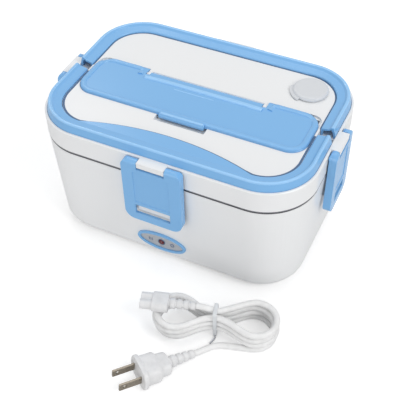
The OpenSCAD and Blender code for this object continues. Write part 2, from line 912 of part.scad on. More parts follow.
module lid_outer() {
    color(white)
        difference() {
            union() {
                difference() {
                    union() {
                        sweep() lid_profile();
                        core(panel_z - lid_t, panel_z);
                    }
                    // the channel widens behind the grip
                    translate([0, 0, moat_z])
                        linear_extrude(far / 10)
                            grip_area(gap, moat_out - fit);
                }
                translate([0, 0, moat_z - lid_t])
                    linear_extrude(lid_t)
                        grip_area(gap + lid_t, moat_in);
                translate([0, 0, moat_z - lid_t])
                    linear_extrude(panel_z - moat_z + lid_t)
                        difference() {
                            grip_area(gap + lid_t, moat_in);
                            grip_area(gap, moat_in + 1);
                        }
                // walls of the cutlery compartment
                translate([0, 0, trough_z - lid_t])
                    linear_extrude(panel_z - trough_z + lid_t - fit)
                        trough_outline(lid_t);
                translate([0, 0, land_z - lid_t])
                    linear_extrude(lid_t)
                        recess_outline(gap + lid_t);
                scoop(lid_t);
                // pockets' walls under the handle's pivots
                for (s = [-1, 1])
                    translate([s > 0 ? mid_x + moat_in - lid_t : -mid_x - corner_r + fit,
                            pivot_y - pivot_in - gap - lid_t, pivot_z - pivot_in - gap - lid_t])
                        cube([corner_r - moat_in + lid_t - fit, pocket_len + 2 * lid_t,
                            moat_z - pivot_z + pivot_in + gap + lid_t]);
                for (side = SIDES)
                    on_side(side)
                        hinge_block();
                // guide for the vent's stem
                translate([vent_x, vent_y, panel_z - 6])
                    cylinder(d = vent_stem_d + 0.6 + 2 * lid_t, h = 5);
            }
            // recess that the cutlery cover lies in
            translate([0, 0, land_z])
                linear_extrude(far / 10)
                    difference() {
                        recess_outline(gap);
                        translate([-ear_out, roll_edge_y])
                            square([2 * ear_out, corner_r]);
                    }
            translate([0, 0, land_z])
                linear_extrude(far / 10)
                    translate([0, trough_rear - 3])
                        for (s = [-1, 1])
                            translate([s * (ear_out + trough_x - 6) / 2, 0])
                                square([trough_x - 6 - ear_out, 6], center = true);
            translate([0, 0, trough_z])
                linear_extrude(far / 10)
                    trough_outline(0);
            // bevel behind the hinge roll, where the open cover leans back
            translate([ear_t - ear_out, 0, 0])
                rotate([90, 0, 90])
                    linear_extrude(2 * (ear_out - ear_t))
                        polygon([[roll_edge_y - 1, hinge_z], [roll_edge_y, hinge_z],
                            [roll_edge_y + 1, panel_z], [roll_edge_y + 1, far], [roll_edge_y - 1, far]]);
            scoop(0);
            for (s = [-1, 1])
                translate([s > 0 ? mid_x + moat_in : -mid_x - moat_out, pivot_y - pivot_in - gap,
                        pivot_z - pivot_in - gap])
                    cube([moat_out - moat_in, pocket_len, far / 10]);
            // bores for the handle's pins
            translate([0, pivot_y, pivot_z])
                rotate([0, 90, 0])
                    difference() {
                        cylinder(d = handle_pin_d, h = 2 * (mid_x + corner_r - 0.6), center = true);
                        cylinder(d = handle_pin_d + 2, h = 2 * (mid_x + moat_in - lid_t - 1), center = true);
                    }
            for (side = SIDES)
                on_side(side)
                    translate([0, -latch_pin_out, latch_pin_z])
                        rotate([0, 90, 0])
                            cylinder(d = latch_pin_d, h = block_w + 2, center = true);
            translate([vent_x, vent_y, panel_z - 10])
                cylinder(d = vent_stem_d + 0.6, h = 20);
        }
    color(white)
        hinge_ears();
}

// length of a pocket: the handle's end swings back into it
pocket_len = 2 * gap + pivot_in + norm([pivot_in, ridge_z - pivot_z]);

// finger scoop in front of the cutlery cover, grown by a clearance
module scoop(grow) {
    depth = 3.5;
    half = tab_w / 2 + 2.5;
    back = -cutlery_front + 4;
    front = -cutlery_front - 7;
    top = grow > 0 ? panel_z - lid_t / 2 : panel_z + 1;
    translate([-half - grow, 0, 0])
        rotate([90, 0, 90])
            linear_extrude(2 * (half + grow))
                polygon([[back, panel_z - depth - grow], [front + 4, panel_z - depth - grow],
                    [front - grow, panel_z - lid_t / 2], [front - grow, top], [back, top]]);
}

// white block between a latch's ears, with the bore for its pin
module hinge_block() {
    round_r = notch_drop - gap;
    front = asin((block_out - latch_pin_out) / round_r);
    translate([-block_w / 2, 0, 0])
        rotate([90, 0, 90])
            linear_extrude(block_w)
                polygon(concat([[lid_t / 2, shoulder_z - fit], [-block_out, shoulder_z - fit]],
                    [for (i = [0 : 4])
                        let (turn = front * (1 - i / 4))
                            [-latch_pin_out - round_r * sin(turn), latch_pin_z - round_r * cos(turn)]],
                    [[lid_t / 2, latch_pin_z - round_r]]));
}

// ears that hold the cutlery cover's hinge pin
module hinge_ears() {
    for (s = [-1, 1])
        translate([s * (ear_out - ear_t / 2), 0, 0])
            difference() {
                union() {
                    translate([0, hinge_y, hinge_z])
                        rotate([0, 90, 0])
                            cylinder(r = 2, h = ear_t, center = true);
                    translate([-ear_t / 2, hinge_y, hinge_z - 2])
                        cube([ear_t, roll_edge_y - hinge_y + lid_t / 2, panel_z - hinge_z + 2 - fit]);
                }
                translate([0, hinge_y, hinge_z])
                    rotate([0, 90, 0])
                        cylinder(d = hinge_pin_d, h = ear_t + 2, center = true);
            }
}

// radii of the gasket's groove
gasket_in = tray_r;
gasket_out = gasket_in + 3.4;

module lid_inner() {
    rib_r = tray_r - steel_t - gap;
    color("gainsboro")
        difference() {
            union() {
                sweep()
                    polygon([[0, inner_z], [rib_r - 1.6, inner_z], [rib_r - 1.6, lid_z - 3], [rib_r, lid_z - 3],
                        [rib_r, inner_z], [gasket_out + gap, inner_z], [gasket_out + gap, lid_z + gap],
                        [corner_r - lid_t - gap, lid_z + gap], [corner_r - lid_t - gap, inner_z + inner_t],
                        [0, inner_z + inner_t]]);
                core(inner_z, inner_z + inner_t);
            }
            translate([vent_x, vent_y, inner_z - 1])
                cylinder(d = 5, h = inner_t + 2);
        }
}

module lid_gasket() {
    gasket_z = rim_seat_z + steel_t + gap;
    color("white", 0.7)
        sweep()
            polygon([[gasket_in + gap, inner_z], [gasket_in + gap, gasket_z + 1], [gasket_in + gap + 1, gasket_z],
                [gasket_out - 1, gasket_z], [gasket_out, gasket_z + 1], [gasket_out, inner_z]]);
}

// ---- ring: carrying handle in front, fixed trim behind ----

band_edge_z = shoulder_z + 4.2;

// outer skin of the ring's section down to a lower edge
function ring_skin(z) = [
    [ring_out, z], [ring_out, shoulder_z + 0.6], [ring_out - ridge_in + 0.7, ridge_z - 0.6],
    [ring_out - ridge_in, ridge_z - 0.1], [ring_out - ridge_in - 0.8, ridge_z],
    [ring_out - ridge_in - 1.6, ridge_z - 0.5], [ring_out - ridge_in - 3, ridge_z - 1.9],
    [ring_in + 0.8, band_edge_z], [ring_in, band_edge_z - 0.8], [ring_in, z]
];

module ring_profile(z) {
    polygon(concat(ring_skin(z), [
        [ring_in + ring_t, z], [ring_in + ring_t, band_edge_z - 2],
        [ring_out - ridge_in - 3.2, ridge_z - 3.8], [ring_out - ridge_in - 1.2, ridge_z - 2.2],
        [ring_out - ring_t, shoulder_z + 0.8], [ring_out - ring_t, z]
    ]));
}

module rear_trim() {
    color(blue)
        intersection() {
            sweep() ring_profile(moat_z);
            translate([-far / 2, trim_end_y, 0])
                cube([far, far, far]);
        }
}

module handle() {
    edge_z = moat_z + gap;
    lug_len = 9;
    color(blue)
        difference() {
            union() {
                intersection() {
                    sweep() ring_profile(edge_z);
                    translate([-far / 2, handle_end_y - far, 0])
                        cube([far, far, far]);
                }
                // grip: the inner band widened to an arc, with a skirt along its edge
                translate([0, 0, band_edge_z - ring_t])
                    linear_extrude(ring_t)
                        grip_area(0, ring_in + 1);
                translate([0, 0, edge_z])
                    linear_extrude(band_edge_z - edge_z)
                        difference() {
                            grip_area(0, ring_in + 0.5);
                            grip_area(-ring_t, ring_in + 1.5);
                        }
                // solid ends with the pivots' lugs
                for (s = [0, 1])
                    mirror([s, 0, 0]) {
                        translate([mid_x, handle_end_y, 0])
                            rotate([90, 0, 0])
                                linear_extrude(lug_len)
                                    polygon(ring_skin(edge_z));
                        translate([mid_x + ring_in, pivot_y, pivot_z])
                            rotate([0, 90, 0])
                                cylinder(r = pivot_in, h = ring_out - ring_in);
                    }
            }
            for (s = [-1, 1])
                translate([s * (mid_x + (ring_in + ring_out) / 2), pivot_y, pivot_z])
                    rotate([0, 90, 0])
                        cylinder(d = handle_pin_d + 2 * fit, h = ring_w + 2, center = true);
        }
}

module handle_pins() {
    pin_in = mid_x + moat_in - lid_t + 0.2;
    pin_out = mid_x + corner_r - 0.8;
    color(steel)
        for (s = [-1, 1])
            translate([s * (pin_in + pin_out) / 2, pivot_y, pivot_z])
                rotate([0, 90, 0])
                    cylinder(d = handle_pin_d, h = pin_out - pin_in, center = true);
}

// ---- latches ----

// window middle and catch height
window_z = latch_pin_z - latch_drop + window_up + window_h / 2;
catch_h = window_h - 2.2;
plate_in = latch_out - latch_t;

module catches() {
    for (side = SIDES)
        on_side(side)
            translate([-side[2] / 2 + 1, gap - plate_in, window_z - catch_h / 2])
                catch(side[2] - 2);
}

// one catch, standing out from the wall towards -Y, with a lead-in on top
module catch(w) {
    depth = corner_r - wall_r(window_z) + plate_in + shell_wall / 2;
    rotate([90, 0, 90])
        linear_extrude(w)
            polygon([[0, 0.8], [0.8, 0], [depth, 0], [depth, catch_h], [2.6, catch_h], [0, catch_h - 2.4]]);
}

// rounded front outline of a latch, w wide, drawn in by an inset
module latch_outline(w, inset) {
    z0 = latch_pin_z - latch_drop + inset;
    z1 = latch_pin_z + knuckle_r;
    low_r = 8 - inset;
    half = w / 2 - inset;
    translate([-half, z0 + low_r])
        square([2 * half, z1 - z0 - low_r - ear_r]);
    translate([-half + low_r, z0])
        square([2 * (half - low_r), low_r + 1]);
    translate([-half + ear_r, z1 - ear_r - 1])
        square([2 * (half - ear_r), ear_r + 1]);
    for (s = [-1, 1]) {
        translate([s * (half - low_r), z0 + low_r])
            circle(low_r);
        translate([s * (half - ear_r), z1 - ear_r])
            circle(ear_r);
    }
}

// section of a latch's side wall: its free edge clears the leaning body wall when pressed in
module latch_section() {
    z0 = latch_pin_z - latch_drop;
    bend_z = rim_z + 1;
    upper = -gap - (latch_pin_z - bend_z) * sin(latch_press);
    lower = corner_r - wall_r(z0) - gap - latch_drop * sin(latch_press) - 0.3;
    polygon([[-latch_out, z0 - 1], [-latch_out, latch_pin_z], [upper, latch_pin_z],
        [upper, bend_z], [lower, z0], [lower, z0 - 1]]);
}

module latch(side) {
    w = side[1];
    notch_w = block_w + 2 * gap;
    notch_z = latch_pin_z - notch_drop;
    panel_low = window_z + window_h / 2 + 3;
    color(blue)
        on_side(side)
            difference() {
                intersection() {
                    union() {
                        translate([-w / 2, 0, 0])
                            rotate([90, 0, 90])
                                linear_extrude(w)
                                    latch_section();
                        translate([0, -latch_pin_out, latch_pin_z])
                            rotate([0, 90, 0])
                                cylinder(r = knuckle_r, h = w, center = true);
                    }
                    translate([0, 2, 0])
                        rotate([90, 0, 0])
                            linear_extrude(latch_out + 4)
                                latch_outline(w, 0);
                }
                // hollow behind the face
                intersection() {
                    translate([0, 2, 0])
                        rotate([90, 0, 0])
                            linear_extrude(2 + plate_in)
                                latch_outline(w, latch_t);
                    translate([-w, -far / 2, 0])
                        cube([2 * w, far, notch_z - 1.6]);
                }
                // way for the catch, so that a hanging latch lifts past it
                translate([-side[2] / 2, -plate_in, latch_pin_z - latch_drop - 1])
                    cube([side[2], far, latch_t + 2]);
                // notch around the hinge block
                translate([-notch_w / 2, -far / 2, notch_z])
                    cube([notch_w, far, far]);
                // window for the catch
                translate([-side[2] / 2, -latch_out - 1, window_z - window_h / 2])
                    cube([side[2], latch_t + 2, window_h]);
                // shallow panel on the face
                translate([-side[2] / 2, -latch_out - 1, panel_low])
                    cube([side[2], 1.5, notch_z - 3 - panel_low]);
                translate([0, -latch_pin_out, latch_pin_z])
                    rotate([0, 90, 0])
                        cylinder(d = latch_pin_d + 2 * fit, h = w - ear_r, center = true);
            }
}

module latch_front() {
    latch(SIDES[0]);
}

module latch_rear() {
    latch(SIDES[1]);
}

module latch_left() {
    latch(SIDES[2]);
}

module latch_right() {
    latch(SIDES[3]);
}

module latch_pins() {
    color(steel)
        for (side = SIDES)
            on_side(side)
                translate([0, -latch_pin_out, latch_pin_z])
                    rotate([0, 90, 0])
                        cylinder(d = latch_pin_d, h = side[1] - ear_r - 0.6, center = true);
}

// ---- cutlery cover and spoon ----

module cutlery_cover() {
    my = (cutlery_front + cutlery_rear) / 2 - cutlery_r;
    mx = cutlery_len / 2 - cutlery_r;
    color(blue)
        difference() {
            union() {
                difference() {
                    translate([0, (cutlery_rear - cutlery_front) / 2, 0]) {
                        sweep(mx, my)
                            polygon([[0, cover_z], [cutlery_r - 0.4, cover_z], [cutlery_r, cover_z + 0.6],
                                [cutlery_r - 0.2, cover_top - 0.9], [cutlery_r - 0.9, cover_top - 0.2],
                                [cutlery_r - 2, cover_top], [0, cover_top]]);
                        core(cover_z, cover_top, mx, my);
                    }
                    // room for the hinge roll and the lid's ears
                    translate([-ear_out - gap, hinge_y - 2 - gap, cover_z - 1])
                        cube([2 * (ear_out + gap), corner_r, cutlery_t + 2]);
                    wing_cut(hinge_in + 0.15);
                }
                translate([-roll_len / 2, hinge_y - 3, cover_z])
                    cube([roll_len, 3, cutlery_t]);
                translate([0, hinge_y, hinge_z])
                    rotate([0, 90, 0])
                        cylinder(r = roll_r, h = roll_len, center = true);
                clasp();
            }
            translate([0, hinge_y, hinge_z])
                rotate([0, 90, 0])
                    cylinder(d = hinge_pin_d + 2 * fit, h = roll_len + 2, center = true);
        }
}

// rounds the cover's rear edge about the hinge, so that it clears the lid as it swings
module wing_cut(r) {
    translate([0, hinge_y, hinge_z])
        rotate([0, 90, 0])
            difference() {
                translate([-far / 4, 0, -far / 4])
                    cube([far / 2, far / 8, far / 2]);
                cylinder(r = r, h = far, center = true);
            }
}

// tab in front that a finger lifts
module clasp() {
    y0 = -cutlery_front - 2.6;
    y1 = -cutlery_front + 3.6;
    top = cover_top + 1.2;
    translate([-tab_w / 2, 0, 0])
        rotate([90, 0, 90])
            linear_extrude(tab_w)
                polygon([[y0, cover_z + 0.3], [y0 + 0.5, cover_z], [y1, cover_z], [y1, top - 0.5],
                    [y1 - 0.5, top], [y0 + 2.4, top], [y0 + 1, top - 0.5], [y0, cover_top - 0.4]]);
}

module cutlery_hinge_pin() {
    color(steel)
        translate([0, hinge_y, hinge_z])
            rotate([0, 90, 0])
                cylinder(d = hinge_pin_d, h = 2 * ear_out, center = true);
}

module spoon() {
    bowl_len = 46;
    bowl_x = -spoon_len / 2 + bowl_len / 2;
    bowl_depth = 8;
    bowl_wall = 1.4;
    stem = spoon_len - bowl_len;
    spoon_y = (trough_rear - trough_front) / 2 - 1.5;
    color("white")
        translate([0, spoon_y, trough_z + gap]) {
            difference() {
                intersection() {
                    translate([bowl_x, 0, bowl_depth])
                        scale([bowl_len / 2, spoon_w / 2, bowl_depth])
                            sphere(1, $fn = 40);
                    translate([bowl_x - bowl_len, -spoon_w, 0])
                        cube([2 * bowl_len, 2 * spoon_w, bowl_depth]);
                }
                translate([bowl_x, 0, bowl_depth + fit])
                    scale([bowl_len / 2 - bowl_wall, spoon_w / 2 - bowl_wall, bowl_depth - bowl_wall])
                        sphere(1, $fn = 40);
            }
            translate([bowl_x + bowl_len / 2 - 1, 0, bowl_depth - 2.6])
                linear_extrude(2.6)
                    polygon([[0, -5], [14, -3.6], [70, -4.6], [stem - 2, -6], [stem, -4],
                        [stem, 4], [stem - 2, 6], [70, 4.6], [14, 3.6], [0, 5]]);
            // rest under the handle's end
            translate([spoon_len / 2 - 14, -3, 0])
                cube([3, 6, bowl_depth - 2.5]);
        }
}

// ---- vent ----

module vent_plug() {
    cap_z = panel_z + gap;
    seat_z = inner_z + inner_t + gap;
    color("lightgray")
        translate([vent_x, vent_y, 0]) {
            rotate_extrude()
                polygon([[0, seat_z], [7, seat_z], [7, seat_z + 2.5], [vent_stem_d / 2, seat_z + 2.5],
                    [vent_stem_d / 2, cap_z], [vent_d / 2 - 0.5, cap_z], [vent_d / 2, cap_z + 0.8],
                    [vent_d / 2 - 0.2, cap_z + 2], [vent_d / 2 - 1.2, cap_z + 2.9],
                    [vent_d / 2 - 3, cap_z + 3.3], [0, cap_z + 3.3]]);
            // lip to lift it by
            rotate([0, 0, 180])
                rotate_extrude(angle = 70)
                    translate([vent_d / 2 - 1, cap_z])
                        square([3.2, 1.4]);
        }
}

// ---- cord ----

hank_x = 68;
hank_y = -118;
hank_turn = 17;
loop_rings = 24;
first_ring = 3;
last_ring = 83;
layer_rise = cord_d + cord_gap;
waist_half = layer_rise / 2 + 0.1;
reach_step = 3;
relief_len = 20;

// the hank's frame: X along the hank, its waist at the origin
module in_hank() {
    translate([hank_x, hank_y, 0])
        rotate([0, 0, hank_turn])
            children();
}

// a quarter of a loop: the run bends away from the waist, goes straight and turns round the fold
function loop_lean(reach) =
    let (cx = reach - fold_r, h = waist_half + waist_bend_r)
        asin((fold_r + waist_bend_r) / norm([cx, h])) - atan2(h, cx);
function quarter(k, reach) =
    let (lean = loop_lean(reach), turn = lean - max(k - 2, 0) / 4 * (90 + lean))
        k == 0 ? [0, waist_half]
        : k == 1 ? [waist_bend_r * sin(lean), waist_half + waist_bend_r * (1 - cos(lean))]
        : [reach - fold_r - fold_r * sin(turn), fold_r * cos(turn)];

// the loops spiral out and in again at a steady rate, one loop to a layer
function hank_reach_at(t) = hank_reach - reach_step * abs((t + 1.5) % 2 - 1);
function eased(x) = let (q = max(0, min(1, x))) q * q * (3 - 2 * q);
function climbed(t) = eased(2 * t - 0.5) + eased(2 * t - 2.5) + eased(2 * t - 4.5) + eased(2 * t - 6.5);
function hank_point(i) =
    let (t = i / loop_rings, j = i % loop_rings, part = floor(j / 6), k = j % 6,
        q = quarter(part % 2 == 0 ? k : 6 - k, hank_reach_at(t)),
        x = part < 2 ? q[0] : -q[0],
        y = part == 0 || part == 3 ? -q[1] : q[1])
            [x, y, cord_d / 2 + layer_rise * climbed(t) + tie_t * max(0, 1 - abs(x) / 20)];

// both ends of the hank run straight for one diameter
hank_in = hank_point(first_ring) - [cord_d, 0, 0];
hank_out = hank_point(last_ring) + cord_d * unit(hank_point(last_ring) - hank_point(last_ring - 1));
hank_path = concat([hank_in], [for (i = [first_ring : last_ring]) hank_point(i)], [hank_out]);

// routes of the two leads from the hank to the plug and to the connector
plug_route = concat([hank_in], bend([hank_in - [cord_d, 0, 0], [9, -14.6, 2.4], [4.8, -15, 2.4],
    [0.9, -16.3, 2.4], [-2.6, -18.2, 2.5], [-9.1, -22.8, 3.1]], 2), [[-13, -25.5, 3.7]]);
connector_route = concat([hank_out], bend([hank_out + cord_d / 2 * unit(hank_out - hank_point(last_ring)),
    [-0.4, 1.4, 23], [-4, 1.1, 24.3], [-8, 1, 25.6], [-11.5, 1, 26.1]], 2), [[-15, 1, 26.1]]);

// least distance between the hank's strands, from points along it, less the cord's diameter
function hank_fine(n) = [for (i = [0 : n]) let (s = i / n * (len(hank_path) - 1), a = floor(s))
    a >= len(hank_path) - 1 ? hank_path[len(hank_path) - 1]
    : hank_path[a] + (s - a) * (hank_path[a + 1] - hank_path[a])];
fine = hank_fine(410);
hank_self_gap = min([for (i = [0 : 410]) for (j = [i + 14 : 410]) norm(fine[i] - fine[j])]) - cord_d;
echo(hank_self_gap = hank_self_gap);

module cord_hank() {
    color("white")
        in_hank()
            tube(hank_path, cord_d, 6);
}

module lead_to_plug() {
    color("white")
        in_hank()
            tube(plug_route, cord_d);
}

module lead_to_connector() {
    color("white")
        in_hank()
            tube(connector_route, cord_d);
}

// a frame at the end of a route: X points on along the route
module at_end(route) {
    last = route[len(route) - 1];
    way = unit(last - route[len(route) - 2]);
    in_hank()
        translate(last)
            rotate([0, -asin(way[2]), atan2(way[1], way[0])])
                children();
}

// ribbed strain relief, growing from the cord to an end diameter
module relief(end_d) {
    ribs = 4;
    pitch = relief_len / ribs;
    core_d = cord_d + 1;
    rotate([0, 90, 0])
        rotate_extrude()
            polygon(concat([[0, 0]],
                [for (i = [0 : ribs - 1])
                    let (r = core_d / 2 + (end_d - core_d) / 2 * (i + 1) / ribs)
                        each [[r, i * pitch], [r, (i + 0.7) * pitch], [r - 0.7, (i + 0.7) * pitch],
                            [r - 0.7, (i + 1) * pitch]],
                [0, relief_len]]));
}

plug_w = 24;
plug_h = 15;
plug_len = 24;
flange_t = 4;

module plug_body() {
    color("gainsboro")
        at_end(plug_route) {
            relief(9);
            translate([relief_len, 0, 0])
                rotate([90, 0, 90]) {
                    linear_extrude(plug_len / 3)
                        round_rect(plug_w - 6, plug_h - 3, 5);
                    translate([0, 0, plug_len / 3 - fit])
                        linear_extrude(2 * plug_len / 3)
                            round_rect(plug_w - 2, plug_h, 5);
                    translate([0, 0, plug_len - flange_t])
                        linear_extrude(flange_t)
                            round_rect(plug_w + 2, plug_h + 3, 7);
                }
        }
}

module plug_blades() {
    color("silver")
        at_end(plug_route)
            for (s = [-1, 1])
                translate([relief_len + plug_len, s * blade_pitch / 2 - 0.75, -blade_wid / 2])
                    difference() {
                        cube([blade_len, 1.5, blade_wid]);
                        translate([blade_len - 4, 1, blade_wid / 2])
                            rotate([90, 0, 0])
                                cylinder(d = 3, h = 4, center = true);
                    }
}

blade_wid = 6.4;

module cord_connector() {
    color("gainsboro")
        at_end(connector_route) {
            relief(8);
            translate([relief_len, 0, 0])
                rotate([90, 0, 90]) {
                    linear_extrude(12)
                        round_rect(recess_w + 1.4, recess_h + 1, 4);
                    difference() {
                        linear_extrude(12 + recess_depth - 2)
                            eight(recess_w - 2 * gap, recess_h - 2 * gap);
                        for (s = [-1, 1])
                            translate([s * pin_pitch / 2, 0, 12])
                                cylinder(d = inlet_pin_d + 2 * fit, h = recess_depth);
                    }
                }
        }
}

// band round the hank's waist, with its twisted tail
module twist_tie() {
    room = 0.25;
    half = waist_half + cord_d / 2 + room;
    top = 26;
    color("white")
        in_hank() {
            translate([-tie_w / 2, 0, 0])
                rotate([90, 0, 90])
                    linear_extrude(tie_w)
                        difference() {
                            translate([0, (top + tie_t) / 2])
                                round_rect(2 * (half + tie_t), top + tie_t, 2);
                            translate([0, (top + tie_t) / 2])
                                round_rect(2 * half, top - tie_t, 2 - tie_t);
                        }
        }
}

outer_shell();
inner_liner();
bottom_cover();
cover_screws();
rubber_feet();
heating_plate();
plate_seal();
ptc_heaters();
mica_sheets();
heater_clamp();
clamp_screws();
thermostat();
thermal_fuse();
inner_wiring();
led_board();
indicator_bezel();
indicator_plate();
indicator_lens();
inlet_socket();
inlet_pins();
inlet_cover();
inlet_cover_pin();
steel_tray();
lid_outer();
lid_inner();
lid_gasket();
rear_trim();
latch_pins();
handle_pins();
cutlery_hinge_pin();
spoon();
handle();
latch_front();
latch_rear();
latch_left();
latch_right();
cutlery_cover();
vent_plug();
cord_hank();
lead_to_plug();
lead_to_connector();
plug_body();
plug_blades();
cord_connector();
twist_tie();
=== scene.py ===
"""Looks of the electric lunch box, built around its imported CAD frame."""
import math

import bmesh
import bpy
import numpy as np
from mathutils import Matrix, Vector


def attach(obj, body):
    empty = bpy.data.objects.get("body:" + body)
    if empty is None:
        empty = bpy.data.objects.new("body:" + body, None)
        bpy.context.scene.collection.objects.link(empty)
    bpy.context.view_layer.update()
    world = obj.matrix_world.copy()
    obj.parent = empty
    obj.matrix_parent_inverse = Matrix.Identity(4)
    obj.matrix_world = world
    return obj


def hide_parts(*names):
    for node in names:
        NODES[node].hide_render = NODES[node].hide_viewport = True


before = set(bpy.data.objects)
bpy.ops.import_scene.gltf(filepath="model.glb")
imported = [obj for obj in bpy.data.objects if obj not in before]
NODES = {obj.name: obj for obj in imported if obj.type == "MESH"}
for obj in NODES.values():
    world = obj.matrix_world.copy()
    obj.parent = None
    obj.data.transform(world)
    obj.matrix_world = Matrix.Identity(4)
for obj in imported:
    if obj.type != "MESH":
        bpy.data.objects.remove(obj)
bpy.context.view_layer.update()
MM = 0.001
SCENE = bpy.context.scene


# ---- camera, at the photograph's angle ----

def add_camera():
    azimuth, elevation, roll = (math.radians(a) for a in (26.3, 45.8, -1.2))
    distance, slide_x, slide_y, centre_z = 0.6637, 0.00028, 0.03824, 0.05597
    back = Vector((math.sin(azimuth) * math.cos(elevation),
                   -math.cos(azimuth) * math.cos(elevation), math.sin(elevation)))
    right = Vector((math.cos(azimuth), math.sin(azimuth), 0))
    up = back.cross(right)
    right, up = (right * math.cos(roll) + up * math.sin(roll),
                 up * math.cos(roll) - right * math.sin(roll))
    data = bpy.data.cameras.new("camera")
    data.lens, data.sensor_width = 72.73, 36
    data.clip_start, data.clip_end = 0.05, 20
    cam = bpy.data.objects.new("camera", data)
    SCENE.collection.objects.link(cam)
    turn = Matrix((right, up, back)).transposed().to_4x4()
    place = Vector((0, 0, centre_z)) + back * distance - right * slide_x - up * slide_y
    cam.matrix_world = Matrix.Translation(place) @ turn
    SCENE.camera = cam


add_camera()


# ---- materials ----

def srgb(r, g, b):
    """Linear colour of 0 to 255 display values."""
    return tuple(((c / 255 + 0.055) / 1.055) ** 2.4 if c > 10 else c / 255 / 12.92
                 for c in (r, g, b)) + (1.0,)


def shade(colour, factor):
    """The colour, made lighter or darker by a factor."""
    return tuple(min(1.0, c * factor) for c in colour[:3]) + (1.0,)


class Mat:
    """A node material being put together."""

    def __init__(self, name):
        self.mat = bpy.data.materials.new(name)
        self.mat.use_nodes = True
        self.nodes, self.links = self.mat.node_tree.nodes, self.mat.node_tree.links
        self.bsdf = self.nodes["Principled BSDF"]
        self.coord = self.add("ShaderNodeTexCoord").outputs["Object"]

    def add(self, kind, **values):
        node = self.nodes.new(kind)
        for key, value in values.items():
            setattr(node, key, value)
        return node

    def link(self, a, b):
        self.links.new(a, b)

    def set(self, **values):
        """Fixed values of the surface; an underscore stands for a space."""
        for key, value in values.items():
            self.bsdf.inputs[key.replace("_", " ")].default_value = value

    def feed(self, **sources):
        """Outputs that drive the surface; an underscore stands for a space."""
        for key, source in sources.items():
            self.link(source, self.bsdf.inputs[key.replace("_", " ")])

    def stretched(self, scale):
        node = self.add("ShaderNodeMapping")
        node.inputs["Scale"].default_value = scale
        self.link(self.coord, node.inputs["Vector"])
        return node.outputs["Vector"]

    def noise(self, scale, detail, rough=0.5, vector=None):
        node = self.add("ShaderNodeTexNoise")
        node.inputs["Scale"].default_value = scale
        node.inputs["Detail"].default_value = detail
        node.inputs["Roughness"].default_value = rough
        self.link(vector or self.coord, node.inputs["Vector"])
        return node.outputs["Fac"]

    def lines(self, scale):
        """Noise drawn out by unequal scales into brush lines."""
        return self.noise(1.0, 4, 0.6, self.stretched(scale))

    def ramp(self, fac, stops):
        node = self.add("ShaderNodeValToRGB")
        elements = node.color_ramp.elements
        while len(elements) < len(stops):
            elements.new(0.5)
        for element, (place, colour) in zip(elements, stops):
            element.position, element.color = place, colour
        self.link(fac, node.inputs["Fac"])
        return node.outputs["Color"]

    def spread(self, fac, low, high, start=0.3, end=0.7):
        """The values from start to end mapped onto low to high."""
        node = self.add("ShaderNodeMapRange")
        for key, value in (("From Min", start), ("From Max", end),
                           ("To Min", low), ("To Max", high)):
            node.inputs[key].default_value = value
        self.link(fac, node.inputs["Value"])
        return node.outputs["Result"]

    def bump(self, height, depth, strength=1.0):
        node = self.add("ShaderNodeBump")
        node.inputs["Distance"].default_value = depth
        node.inputs["Strength"].default_value = strength
        self.link(height, node.inputs["Height"])
        return node.outputs["Normal"]


BRUSHED = (40, 40, 2600)
BRUSH_DEPTH = 0.000006


def plastic(name, colour, rough, texture=0.000004, grain=1400, vary=0.008):
    """Moulded plastic: faint flow marks in its colour and sheen, and a mould's fine grain."""
    m = Mat(name)
    m.feed(Base_Color=m.ramp(m.noise(14, 1), [(0.0, shade(colour, 1 - vary)),
                                              (1.0, shade(colour, 1 + vary))]),
           Roughness=m.spread(m.noise(40, 2), rough - 0.04, rough + 0.04, 0.0, 1.0),
           Normal=m.bump(m.noise(grain, 1), texture, 0.35))
    m.set(Specular_IOR_Level=0.5, IOR=1.5)
    return m.mat


def metal(name, colour, rough, scale=BRUSHED):
    """Metal: brush lines where the scales differ, an even grain where they are equal."""
    m = Mat(name)
    lines = m.lines(scale)
    m.feed(Base_Color=m.ramp(lines, [(0.3, shade(colour, 0.9)), (0.7, shade(colour, 1.06))]),
           Roughness=m.spread(lines, rough - 0.07, rough + 0.09),
           Normal=m.bump(lines, BRUSH_DEPTH))
    m.set(Metallic=1.0)
    return m.mat


def rubber(name, colour, rough, depth=0.00003):
    """Rubber, silicone or soft plastic: mottled, with a finer and duller surface."""
    m = Mat(name)
    m.feed(Base_Color=m.ramp(m.noise(220, 4), [(0.3, shade(colour, 0.95)),
                                               (0.7, shade(colour, 1.05))]),
           Roughness=m.spread(m.noise(140, 3), rough - 0.06, rough + 0.08),
           Normal=m.bump(m.noise(1800, 3), depth, 0.6))
    m.set(Specular_IOR_Level=0.4)
    return m.mat


# the tray's rim band, in metres up: the painted shade over its height (grey above, a dark painted
# shadow in the lower half), and how far a face has to look outward (its normal times its place) for
# the painted shade to set in and to be full
RIM_LOW, RIM_HIGH = 0.0905, 0.0945
RIM_PAINTED_SHADE = [(0.1, (1, 1, 1, 1)), (0.18, (0.1, 0.1, 0.11, 1)), (0.42, (0.12, 0.12, 0.13, 1)),
             (0.5, (0.48, 0.48, 0.5, 1)), (0.9, (0.55, 0.55, 0.57, 1))]
SHADE_FROM, SHADE_FULL = 0.01, 0.04


